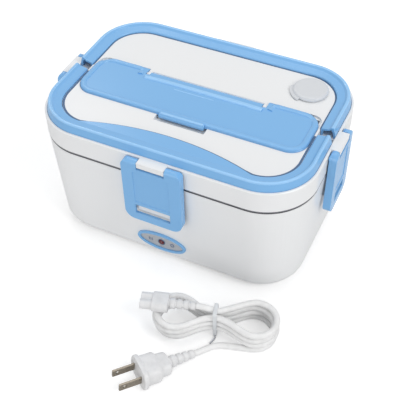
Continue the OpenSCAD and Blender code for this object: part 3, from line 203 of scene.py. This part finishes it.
def tray_steel():
    """Brushed steel; outside, its rim band is painted lighter grey above, and in its turned-in
    lower half a dark painted shadow of the gap below it.
    """
    m = Mat("tray_steel")
    lines = m.lines(BRUSHED)
    steel = m.ramp(lines, [(0.3, srgb(178, 180, 184)), (0.7, srgb(206, 208, 212))])
    split = m.add("ShaderNodeSeparateXYZ")
    m.link(m.coord, split.inputs[0])
    # painted shade on the rim band, by height: a dark painted shadow below, grey above
    band = m.ramp(m.spread(split.outputs["Z"], 0.0, 1.0, RIM_LOW, RIM_HIGH), RIM_PAINTED_SHADE)
    level = m.add("ShaderNodeVectorMath", operation="MULTIPLY")
    level.inputs[1].default_value = (1, 1, 0)
    outward = m.add("ShaderNodeVectorMath", operation="DOT_PRODUCT")
    m.link(m.coord, level.inputs[0])
    m.link(level.outputs["Vector"], outward.inputs[0])
    m.link(m.add("ShaderNodeNewGeometry").outputs["Normal"], outward.inputs[1])
    mix = m.add("ShaderNodeMix", data_type="RGBA", blend_type="MULTIPLY")
    m.link(m.spread(outward.outputs["Value"], 0.0, 1.0, SHADE_FROM, SHADE_FULL),
           mix.inputs["Factor"])
    m.link(steel, mix.inputs["A"])
    m.link(band, mix.inputs["B"])
    m.feed(Base_Color=mix.outputs["Result"], Roughness=m.spread(lines, 0.27, 0.35),
           Normal=m.bump(lines, BRUSH_DEPTH))
    m.set(Metallic=1.0)
    return m.mat


# kind, display colour, roughness and what differs from the kind's own values
FINISHES = {
    "white_plastic": (plastic, (238, 239, 240), 0.3, {}),
    "blue_plastic": (plastic, (126, 183, 233), 0.22, {"texture": 0.000003}),
    "grey_plastic": (plastic, (222, 224, 227), 0.42, {"texture": 0.000008}),
    "stainless": (metal, (196, 198, 202), 0.26, {}),
    "zinc_steel": (metal, (182, 184, 190), 0.34, {"scale": (300, 300, 300)}),
    "aluminium_plate": (metal, (202, 203, 207), 0.4, {"scale": (60, 2200, 60)}),
    "heater_body": (metal, (176, 170, 152), 0.45, {"scale": (400, 400, 400)}),
    "red_silicone": (rubber, (176, 58, 48), 0.55, {}),
    "clear_silicone": (rubber, (228, 230, 232), 0.4, {}),
    "grey_silicone": (rubber, (220, 223, 226), 0.38, {"depth": 0.00001}),
    "dark_rubber": (rubber, (52, 52, 55), 0.6, {}),
    "mica": (plastic, (206, 190, 146), 0.35, {"texture": 0.00003, "grain": 600, "vary": 0.12}),
    "thermostat_case": (plastic, (104, 62, 40), 0.4, {"texture": 0.00003}),
    "fuse_case": (plastic, (230, 228, 216), 0.2, {}),
    "wire_insulation": (rubber, (190, 44, 36), 0.35, {"depth": 0.00001}),
    "circuit_board": (plastic, (32, 98, 58), 0.3,
                      {"texture": 0.00002, "grain": 900, "vary": 0.1}),
    "silver_plastic": (metal, (196, 199, 204), 0.36, {"scale": (800, 800, 800)}),
    "lens_red": (plastic, (104, 34, 36), 0.1, {}),
    # painted highlight: a lighter blue for the ridge, roll, groove and tab edge beads, for light
    # caught on those edges
    "blue_edge": (plastic, (152, 203, 247), 0.18, {"texture": 0.000002}),
    # dark blue-grey: painted shade for the lines at the ring's inner edge, and the print of the
    # indicator's marks
    "seam_dark": (rubber, (84, 112, 146), 0.6, {"depth": 0.000004}),
    "pin_brass": (metal, (206, 178, 120), 0.25, {"scale": (500, 500, 500)}),
    "cord_white": (rubber, (236, 236, 236), 0.32, {"depth": 0.000008}),
    "plug_grey": (rubber, (226, 226, 227), 0.34, {"depth": 0.00001}),
}
MATS = {name: kind(name, srgb(*colour), rough, **own)
        for name, (kind, colour, rough, own) in FINISHES.items()}


def paint(obj, mat):
    obj.data.materials.clear()
    obj.data.materials.append(mat)


# ---- modifiers that ease the CAD's edges ----

SHARP_ANGLE, FLAT_ANGLE, BEVEL_ANGLE = (math.radians(a) for a in (32, 0.4, 30))
BEVEL_WIDTH, BEVEL_SEGMENTS, WELD_REACH = 0.35, 2, 1e-6


def smoothing_group():
    """A node group that drops the imported normals and keeps only edges above an angle sharp."""
    group = bpy.data.node_groups.new("smooth_by_angle", "GeometryNodeTree")
    for in_out in ("INPUT", "OUTPUT"):
        group.interface.new_socket("Geometry", in_out=in_out, socket_type="NodeSocketGeometry")
    nodes, links = group.nodes, group.links
    start, end = nodes.new("NodeGroupInput"), nodes.new("NodeGroupOutput")
    normal = nodes.new("GeometryNodeSetMeshNormal")
    angle = nodes.new("GeometryNodeInputMeshEdgeAngle")
    above = nodes.new("FunctionNodeCompare")
    above.data_type, above.operation = "FLOAT", "GREATER_THAN"
    above.inputs[1].default_value = SHARP_ANGLE
    links.new(angle.outputs["Unsigned Angle"], above.inputs[0])
    normal.mode = "SHARPNESS"
    normal.inputs["Remove Custom"].default_value = True
    normal.inputs["Face Sharpness"].default_value = False
    links.new(above.outputs["Result"], normal.inputs["Edge Sharpness"])
    links.new(start.outputs[0], normal.inputs[0])
    links.new(normal.outputs[0], end.inputs[0])
    return group


SMOOTH = smoothing_group()


def ease(obj, width=BEVEL_WIDTH):
    """Flat faces joined, edges rounded to a width in mm where it isn't 0, and even normals."""
    weld = obj.modifiers.new("weld", "WELD")
    weld.merge_threshold = WELD_REACH
    flat = obj.modifiers.new("flat", "DECIMATE")
    flat.decimate_type, flat.angle_limit = "DISSOLVE", FLAT_ANGLE
    if width:
        bevel = obj.modifiers.new("edge", "BEVEL")
        bevel.width, bevel.segments = width * MM, BEVEL_SEGMENTS
        bevel.limit_method, bevel.angle_limit = "ANGLE", BEVEL_ANGLE
        bevel.use_clamp_overlap, bevel.miter_outer = True, "MITER_ARC"
    obj.modifiers.new("smooth", "NODES").node_group = SMOOTH
    even = obj.modifiers.new("even", "WEIGHTED_NORMAL")
    even.keep_sharp = True


SPECIAL = {
    "steel_tray": tray_steel(),
    "plug_blades": metal("blade_metal", srgb(148, 140, 128), 0.3, (500, 500, 500)),
    "vent_plug": plastic("vent_grey", srgb(214, 217, 221), 0.36),
}
SLOT_OF = {n: o.data.materials[0].name for n, o in NODES.items()}
for name, obj in NODES.items():
    paint(obj, SPECIAL.get(name) or MATS[SLOT_OF[name].split(".")[0]])
    ease(obj)


# ---- pieces made of rings of points, in millimetres ----

SPLINE_STEPS = 8


def smooth_route(points, step=1.6):
    """Catmull-Rom through the points, at even steps."""
    fine = []
    ends = [2 * points[0] - points[1]] + points + [2 * points[-1] - points[-2]]
    for a, b, c, d in zip(ends, ends[1:], ends[2:], ends[3:]):
        for i in range(SPLINE_STEPS):
            t = i / SPLINE_STEPS
            fine.append(0.5 * (2 * b + (c - a) * t + (2 * a - 5 * b + 4 * c - d) * t * t
                               + (3 * b - a - 3 * c + d) * t ** 3))
    fine.append(points[-1])
    reach = np.r_[0, np.cumsum([(b - a).length for a, b in zip(fine, fine[1:])])]
    at = np.linspace(0, reach[-1], int(reach[-1] / step) + 1)
    xyz = np.array(fine)
    return [Vector(p) for p in np.c_[tuple(np.interp(at, reach, xyz[:, i]) for i in range(3))]]


def tube_rings(points, radius, sides):
    """Rings along a route, carried on without twist."""
    rings, across = [], None
    for i, p in enumerate(points):
        way = (points[min(i + 1, len(points) - 1)] - points[max(i - 1, 0)]).normalized()
        if across is None:
            across = way.orthogonal().normalized()
        across = (across - way * across.dot(way)).normalized()
        other = way.cross(across)
        rings.append([p + radius * (across * math.cos(a) + other * math.sin(a))
                      for a in (2 * math.pi * k / sides for k in range(sides))])
    return rings


def in_frame(rings, frame_matrix):
    """The rings in metres, placed by a matrix."""
    return [[frame_matrix @ (p * MM) for p in ring] for ring in rings]


def skin(bm, rings):
    """Quads between rings of equal count, and a face over each end."""
    rows = [[bm.verts.new(p) for p in ring] for ring in rings]
    n = len(rows[0])
    for low, high in zip(rows, rows[1:]):
        for i in range(n):
            bm.faces.new((low[i], low[(i + 1) % n], high[(i + 1) % n], high[i]))
    bm.faces.new(rows[0][::-1])
    bm.faces.new(rows[-1])


def new_piece(name, runs, mat, body):
    """A piece skinned over one or more runs of rings."""
    bm = bmesh.new()
    for rings in runs:
        skin(bm, rings)
    bmesh.ops.recalc_face_normals(bm, faces=bm.faces[:])
    mesh = bpy.data.meshes.new(name)
    bm.to_mesh(mesh)
    bm.free()
    for face in mesh.polygons:
        face.use_smooth = True
    obj = bpy.data.objects.new(name, mesh)
    SCENE.collection.objects.link(obj)
    paint(obj, MATS[mat])
    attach(obj, body)
    return obj


# ---- the lead: cord, plug, connector and tie ----
# The route is the CAD's, in its own frame and in millimetres: a hank of folded loops in four
# layers, and from it the two ends. Only the cord's length is in metres.

CORD_D, CORD_SIDES, CORD_LENGTH, CORD_BODY = 4.8, 18, 0.805, "base"
LOOP_RINGS, QUARTER_RINGS, FIRST_RING, LAST_RING = 24, 6, 3, 83
WAIST_HALF, WAIST_BEND_R, FOLD_R = 2.85, 20, 14.6
HANK_REACH, REACH_STEP, LAYER_RISE = 46, 3, 5.5
LAYER_CLIMBS = (0.5, 2.5, 4.5, 6.5)     # in half loops
TIE_T, TIE_LIFT_X = 0.6, 20             # the tie lifts the cord, less and less to this X
HANK_X, HANK_Y, HANK_TURN = 68, -118, 17
HANK = (Matrix.Translation((HANK_X * MM, HANK_Y * MM, 0))
        @ Matrix.Rotation(math.radians(HANK_TURN), 4, "Z"))
PLUG_WAY = ((9, -14.6, 2.4), (4.8, -15, 2.4), (0.9, -16.3, 2.4),
            (-2.6, -18.2, 2.5), (-9.1, -22.8, 3.1), (-13, -25.5, 3.7))
CONNECTOR_WAY = ((-0.4, 1.4, 23), (-4, 1.1, 24.3), (-8, 1, 25.6), (-11.5, 1, 26.1), (-15, 1, 26.1))


def loop_lean(reach):
    """The angle at which a loop's two bends meet, for its reach along X."""
    across, up = reach - FOLD_R, WAIST_HALF + WAIST_BEND_R
    return math.asin((FOLD_R + WAIST_BEND_R) / math.hypot(across, up)) - math.atan2(up, across)


def quarter(k, reach):
    """Point k of 0 to 6 on a quarter of a loop, from the waist to the tip of the fold."""
    lean = loop_lean(reach)
    if k == 0:
        return 0, WAIST_HALF
    if k == 1:
        return WAIST_BEND_R * math.sin(lean), WAIST_HALF + WAIST_BEND_R * (1 - math.cos(lean))
    turn = lean - (k - 2) / (QUARTER_RINGS - 2) * (math.pi / 2 + lean)
    return reach - FOLD_R - FOLD_R * math.sin(turn), FOLD_R * math.cos(turn)


def eased(x):
    q = max(0.0, min(1.0, x))
    return q * q * (3 - 2 * q)


def hank_point(i):
    """Point i of the hank, LOOP_RINGS to a loop; the reach goes down and up over two loops."""
    t, j = i / LOOP_RINGS, i % LOOP_RINGS
    part, k = j // QUARTER_RINGS, j % QUARTER_RINGS
    reach = HANK_REACH - REACH_STEP * abs((t + 1.5) % 2 - 1)
    along, aside = quarter(k if part % 2 == 0 else QUARTER_RINGS - k, reach)
    x = along if part < 2 else -along
    y = -aside if part in (0, 3) else aside
    climbed = sum(eased(2 * t - c) for c in LAYER_CLIMBS)
    lift = TIE_T * max(0, 1 - abs(x) / TIE_LIFT_X)
    return Vector((x, y, CORD_D / 2 + LAYER_RISE * climbed + lift))


def end_frame(points):
    """The CAD's frame at the end of a route: X points on along the route."""
    way = (points[-1] - points[-2]).normalized()
    turn = (Matrix.Rotation(math.atan2(way.y, way.x), 4, "Z")
            @ Matrix.Rotation(-math.asin(way.z), 4, "Y"))
    return HANK @ Matrix.Translation(points[-1] * MM) @ turn


hank = [hank_point(i) for i in range(FIRST_RING, LAST_RING + 1)]
hank_in = hank[0] - Vector((CORD_D, 0, 0))
hank_out = hank[-1] + CORD_D * (hank[-1] - hank[-2]).normalized()
to_plug = ([hank_in, Vector((hank_in.x - CORD_D, hank_in.y, hank_in.z))]
           + [Vector(p) for p in PLUG_WAY])
to_connector = ([hank_out, hank_out + CORD_D / 2 * (hank_out - hank[-1]).normalized()]
                + [Vector(p) for p in CONNECTOR_WAY])

route = smooth_route(to_connector[::-1] + hank[::-1] + to_plug)
lead = new_piece("lead", [in_frame(tube_rings(route, CORD_D / 2, CORD_SIDES), HANK)],
                 "cord_white", CORD_BODY)
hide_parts("cord_hank", "lead_to_plug", "lead_to_connector")

# the plug's strain relief: along one rib's pitch, how far the surface lies inside its crest
RELIEF_LEN, RELIEF_RIBS, RELIEF_START_D, RELIEF_END_D = 20, 4, CORD_D + 1, 9
RIB = ((0.0, 0.5), (0.06, 0.12), (0.14, 0), (0.58, 0),
       (0.67, 0.12), (0.72, 0.5), (0.76, 0.7), (0.96, 0.7))
# x, half width, half height and corner radius of the plug's sections
PLUG = ((20, 4.6, 4.4, 4), (20.6, 7.6, 5.0, 4.2), (21.6, 8.6, 5.7, 4.6), (24, 8.9, 5.95, 5),
        (27.5, 9, 6, 5), (28.6, 9.6, 6.5, 5), (29.6, 10.6, 7.2, 5), (31, 10.95, 7.48, 5),
        (38.6, 11, 7.5, 5), (39.6, 11, 7.5, 5), (40.1, 11.6, 8.0, 6), (40.5, 12.6, 8.7, 6.6),
        (41.2, 13, 9, 7), (43.2, 13, 9, 7), (43.7, 12.8, 8.8, 6.8), (44, 12.3, 8.3, 6.4))
CORNER_POINTS = 8


def rounded(half_w, half_h, r, x):
    """A rounded rectangle across X, CORNER_POINTS to a corner."""
    r = min(r, half_w, half_h)
    ring = []
    for k, (sy, sz) in enumerate(((1, 1), (-1, 1), (-1, -1), (1, -1))):
        for i in range(CORNER_POINTS):
            a = math.pi / 2 * (k + i / (CORNER_POINTS - 1))
            ring.append(Vector((x, sy * (half_w - r) + r * math.cos(a),
                                sz * (half_h - r) + r * math.sin(a))))
    return ring


def relief_rings():
    """Rounded ribs that grow from the cord to the plug's neck."""
    rings = []
    for i in range(RELIEF_RIBS):
        grown = (RELIEF_END_D - RELIEF_START_D) / 2 * (i + 1) / RELIEF_RIBS
        for u, cut in RIB:
            r = RELIEF_START_D / 2 + grown - cut
            rings.append(rounded(r, r, r, (i + u) * RELIEF_LEN / RELIEF_RIBS))
    return rings


plug_rings = relief_rings() + [rounded(w, h, r, x) for x, w, h, r in PLUG]
plug = new_piece("plug_cover", [in_frame(plug_rings, end_frame(to_plug))],
                 "plug_grey", CORD_BODY)
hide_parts("plug_body")
ease(plug, 0)

# the tie's loose end: two wires twisted together, lying out from the band
TAIL_WAY = ((0.4, -6.0, 1.3), (0.2, -8.2, 1.0), (-0.8, -10.6, 1.1), (-2.6, -13.2, 0.9))
TAIL_STEP, TAIL_TWIST, TAIL_WIRE_R, TAIL_SLANT, WIRE_SIDES = 0.35, 0.55, 0.42, 0.35, 8


def tail_wire(start):
    """One wire of the tail, wound round its middle from a start angle."""
    wire = []
    for i, p in enumerate(smooth_route([Vector(p) for p in TAIL_WAY], TAIL_STEP)):
        a = start + i * TAIL_TWIST
        wire.append(p + TAIL_WIRE_R * Vector((math.cos(a), TAIL_SLANT * math.cos(a), math.sin(a))))
    return wire


tie_tail = new_piece("tie_tail", [in_frame(tube_rings(tail_wire(start), TAIL_WIRE_R, WIRE_SIDES),
                                           HANK) for start in (0, math.pi)],
                     "zinc_steel", CORD_BODY)


# ---- beads on the lid: the cover's rim, the ring's ridges and other edges with a painted highlight, and dark lines of painted shade ----
# Heights and places are the CAD's, in millimetres; a bead's size is its width and height.

COVER_TOP, COVER_X, COVER_FRONT, COVER_REAR, COVER_R = 114.8, 95, -30, 17.1, 14
DOME_STEPS, DOME_SINK = 10, 0.4


def dome(width, height, sink=DOME_SINK):
    """A crowned section that sinks a little into what it stands on, as (outward, up) pairs."""
    top = [(width / 2 * math.cos(a), height * math.sin(a))
           for a in (math.pi * i / DOME_STEPS for i in range(DOME_STEPS + 1))]
    return top + [(-width / 2, -sink), (width / 2, -sink)]


def bead(name, points, z, profile, mat, body):
    """A moulding swept along an open path."""
    rings = []
    for i, p in enumerate(points):
        way = (points[min(i + 1, len(points) - 1)] - points[max(i - 1, 0)]).normalized()
        out = Vector((way.y, -way.x, 0))
        rings.append([(p + out * u + Vector((0, 0, z + v))) * MM for u, v in profile])
    ease(new_piece(name, [rings], mat, body), 0)


def arc(cx, cy, r, start, end, steps):
    """Points on a circle, from one angle to another in degrees."""
    return [Vector((cx + r * math.cos(a), cy + r * math.sin(a), 0))
            for a in (math.radians(start + (end - start) * i / steps) for i in range(steps + 1))]


def crosswise(start, end, count, y, bow=0.0):
    """Points along X; a bow draws both ends forward."""
    return [Vector((x, y - bow * (x / start) ** 4, 0)) for x in np.linspace(start, end, count)]


def mirrored(points):
    """The points, and on through the mirror image at -X."""
    return points + [Vector((-p.x, p.y, p.z)) for p in reversed(points)]


# rounded rim that makes the cutlery cover's top a dish: round the front and the wings, with its
# ends turned in beside the hinge, whose middle is a raised roll
RIM_IN, RIM_REAR_IN, RIM_STEPS, STEP_X, HINGE_Y = 2.7, 3.2, 12, 56.6, 11.4
RIM_END = ((-1.2, 7.2), (-0.9, 9.2), (-0.4, 10.6))      # x from STEP_X, and y
END_TURN_R, END_TURN_STEPS = 2.2, 5
DIP, DIP_Y, DIP_REACH = 0.85, HINGE_Y - 0.5, 1.8
rim_x, rim_rear, rim_front, rim_r = (COVER_X - RIM_IN, COVER_REAR - RIM_REAR_IN,
                                     COVER_FRONT + RIM_IN, COVER_R - RIM_IN)
rim = ([Vector((STEP_X + x, y, 0)) for x, y in RIM_END]
       + arc(STEP_X + END_TURN_R, rim_rear - END_TURN_R, END_TURN_R, 180, 90, END_TURN_STEPS)
       + arc(rim_x - rim_r, rim_rear - rim_r, rim_r, 90, 0, RIM_STEPS)
       + arc(rim_x - rim_r, rim_front + rim_r, rim_r, 0, -90, RIM_STEPS))
for p in rim:
    # lower beside the hinge, where the raised cover swings down into the lid
    p.z = -DIP * math.exp(-((p.y - DIP_Y) / DIP_REACH) ** 2)

RIM_SIZE, ROLL_SIZE, GROOVE_SIZE, TAB_SIZE = (4.6, 1.1), (4.4, 1.1), (0.9, 0.22), (2.4, 0.55)
ROLL_X, ROLL_Y, ROLL_BOW, GROOVE_X, GROOVE_Y = 50, 6.1, 0.8, (12, -22), 0.5
TAB_X, TAB_OUT, TAB_TOP = 17.6, 0.2, 116.0
# the roll, groove and tab edge beads carry a painted highlight in a lighter blue
for name, points, z, size, mat in (
        ("cover_rim", mirrored(rim), COVER_TOP, RIM_SIZE, "blue_plastic"),
        ("cover_roll", crosswise(ROLL_X, -ROLL_X, 36, ROLL_Y, ROLL_BOW),
         COVER_TOP, ROLL_SIZE, "blue_edge"),
        ("cover_groove", crosswise(*GROOVE_X, 10, GROOVE_Y), COVER_TOP, GROOVE_SIZE, "blue_edge"),
        ("tab_edge", crosswise(TAB_X, -TAB_X, 16, COVER_FRONT - TAB_OUT),
         TAB_TOP, TAB_SIZE, "blue_edge")):
    bead(name, points, z, dome(*size), mat, "cutlery_cover")

# rounded ridge on the ring, in a lighter blue as a painted highlight: over the handle in front and
# over the fixed trim behind
RING_OUT, RING_IN, RIDGE_IN, RIDGE_Z, PANEL_Z = 38.9, 27.3, 2.7, 118.1, 113.6
MID_X, MID_Y, HANDLE_END_Y, TRIM_END_Y = 70, 35, -4.5, 3.5
RIDGE_W, RIDGE_H, RIDGE_FOOT, RIDGE_SINK = 2.5, 0.57, 1.1, 0.58
END_GAP, STRAIGHT, RING_STEPS = 0.4, 8, 18


def half_ring(r, end_y, side):
    """The ring's path at radius r round one side's two corners: side is 1 behind, -1 in front."""
    return ([Vector((MID_X + r, end_y + side * y, 0)) for y in (END_GAP, STRAIGHT)]
            + arc(MID_X, side * MID_Y, r, 0, side * 90, RING_STEPS))


for name, end_y, side, body in (("handle_ridge", HANDLE_END_Y, -1, "handle"),
                                ("trim_ridge", TRIM_END_Y, 1, "lid")):
    bead(name, mirrored(half_ring(RING_OUT - RIDGE_IN, end_y, side)), RIDGE_Z - RIDGE_SINK,
         dome(RIDGE_W, RIDGE_H, RIDGE_FOOT), "blue_edge", body)

# painted shade: a dark line where the panel meets the ring, for the shadow in the gap there, with
# the grip's arc in front, for the shade behind the grip's edge; the arc's middle point is left out,
# because its mirror image would be the same point
GRIP_R, GRIP_Y, GRIP_TRIM, GRIP_STEPS = 212, -263.3, 1.2, 16
FRONT_SHADE_IN, REAR_SHADE_IN, FRONT_SHADE_W, REAR_SHADE_W, SHADE_H = 1.25, 0.65, 1.7, 0.9, 0.12
bow = math.degrees(math.acos((-(MID_Y + RING_IN) - GRIP_Y) / GRIP_R))
front = (half_ring(RING_IN - FRONT_SHADE_IN, HANDLE_END_Y, -1)
         + arc(0, GRIP_Y, GRIP_R + FRONT_SHADE_IN, 90 - bow + GRIP_TRIM, 90, GRIP_STEPS))
rear = half_ring(RING_IN - REAR_SHADE_IN, TRIM_END_Y, 1)
for name, points, width in (("front_painted_shade", front[:-1], FRONT_SHADE_W),
                            ("rear_painted_shade", rear, REAR_SHADE_W)):
    bead(name, mirrored(points), PANEL_Z, dome(width, SHADE_H), "seam_dark", "lid")


# ---- plain marks on the indicator's plate, left and right of the lamp and round it ----

WALL_Y, WALL_Z, DRAFT_DEG, PLATE_PROUD, MARK_PROUD = -72.19, 21.5, 2.8945, 0.8, 0.05
WALL = (Matrix.Translation((0, WALL_Y * MM, WALL_Z * MM))
        @ Matrix.Rotation(math.radians(DRAFT_DEG), 4, "X"))
MARK_X, MARK_R, MARK_GAP, MARK_LINE, LAMP_R = 9.5, 1.5, 1.4, 0.26, 2.9


def in_plate(x, z):
    return Vector((x, -PLATE_PROUD - MARK_PROUD, z))


def circle(x, r, turns, count):
    """An open ring on the plate, so that its two ends don't meet."""
    return [in_plate(x + r * math.cos(a), r * math.sin(a))
            for a in np.linspace(0, turns * math.pi, count)]


bars = [[in_plate(dx - MARK_X, z) for z in (-MARK_R, -MARK_R / 2, MARK_R / 2, MARK_R)]
        for dx in (-MARK_GAP, 0, MARK_GAP)]
for name, paths in (("mark_left", bars), ("mark_right", [circle(MARK_X, MARK_R, 1.9, 22)]),
                    ("lamp_ring", [circle(0, LAMP_R, 1.98, 40)])):
    new_piece(name, [in_frame(tube_rings(path, MARK_LINE, WIRE_SIDES), WALL) for path in paths],
              "seam_dark", "base")


# ---- floor, world and lamps ----

FLOOR_HALF = 6
FLOOR_NEAR, FLOOR_FAR = (0.6, 0.35), (3.0, 0.8)     # distance in metres, and the glow there
ROOM_LIGHT, SEEN_WHITE = 0.56, 1.0
LAMP_TARGET = Vector((0, 0, 0.06))
LAMPS = (("key", (1.6, -0.3, 1.5), 1.2, 14), ("top", (-0.3, 0.5, 2.0), 1.4, 7),
         ("front", (-0.3, -2.2, 0.45), 1.4, 10), ("spark", (-0.9, 0.9, 1.3), 0.3, 1.4))


def add_floor():
    """A white floor; for the camera it glows, and more with the distance, so no horizon shows."""
    bm = bmesh.new()
    bmesh.ops.create_grid(bm, x_segments=8, y_segments=8, size=FLOOR_HALF)
    mesh = bpy.data.meshes.new("floor")
    bm.to_mesh(mesh)
    bm.free()
    floor = bpy.data.objects.new("floor", mesh)
    SCENE.collection.objects.link(floor)
    m = Mat("floor_white")
    away = m.add("ShaderNodeVectorMath", operation="LENGTH")
    m.link(m.coord, away.inputs[0])
    (near, low), (far, high) = FLOOR_NEAR, FLOOR_FAR
    glow = m.add("ShaderNodeMath", operation="MULTIPLY")
    m.link(m.spread(away.outputs["Value"], low, high, near, far), glow.inputs[0])
    m.link(m.add("ShaderNodeLightPath").outputs["Is Camera Ray"], glow.inputs[1])
    m.feed(Base_Color=m.ramp(m.noise(3, 2), [(0.3, (0.84, 0.84, 0.84, 1)),
                                             (0.7, (0.86, 0.86, 0.86, 1))]),
           Emission_Strength=glow.outputs[0])
    m.set(Roughness=0.9, Specular_IOR_Level=0.0, Emission_Color=(1, 1, 1, 1))
    paint(floor, m.mat)


def add_world():
    """A white world, dimmer as a light than where the camera, a gloss or a clear piece sees it."""
    world = bpy.data.worlds.new("world")
    SCENE.world = world
    world.use_nodes = True
    nodes, links = world.node_tree.nodes, world.node_tree.links
    back = nodes["Background"]
    back.inputs["Color"].default_value = (1, 1, 1, 1)
    path = nodes.new("ShaderNodeLightPath")
    seen, mirrored_ray = nodes.new("ShaderNodeMath"), nodes.new("ShaderNodeMath")
    seen.operation = mirrored_ray.operation = "ADD"
    links.new(path.outputs["Is Camera Ray"], seen.inputs[0])
    links.new(path.outputs["Is Glossy Ray"], mirrored_ray.inputs[0])
    links.new(path.outputs["Is Transmission Ray"], mirrored_ray.inputs[1])
    links.new(mirrored_ray.outputs[0], seen.inputs[1])
    level = nodes.new("ShaderNodeMapRange")
    level.inputs["To Min"].default_value = ROOM_LIGHT
    level.inputs["To Max"].default_value = SEEN_WHITE
    links.new(seen.outputs[0], level.inputs["Value"])
    links.new(level.outputs["Result"], back.inputs["Strength"])


def add_lamp(name, place, size, power):
    data = bpy.data.lights.new(name, "AREA")
    data.shape, data.size, data.energy = "DISK", size, power
    lamp = bpy.data.objects.new(name, data)
    SCENE.collection.objects.link(lamp)
    lamp.location = place
    lamp.rotation_euler = (LAMP_TARGET - Vector(place)).to_track_quat("-Z", "Y").to_euler()


add_floor()
add_world()
for lamp in LAMPS:
    add_lamp(*lamp)
SCENE.view_settings.view_transform = "Standard"
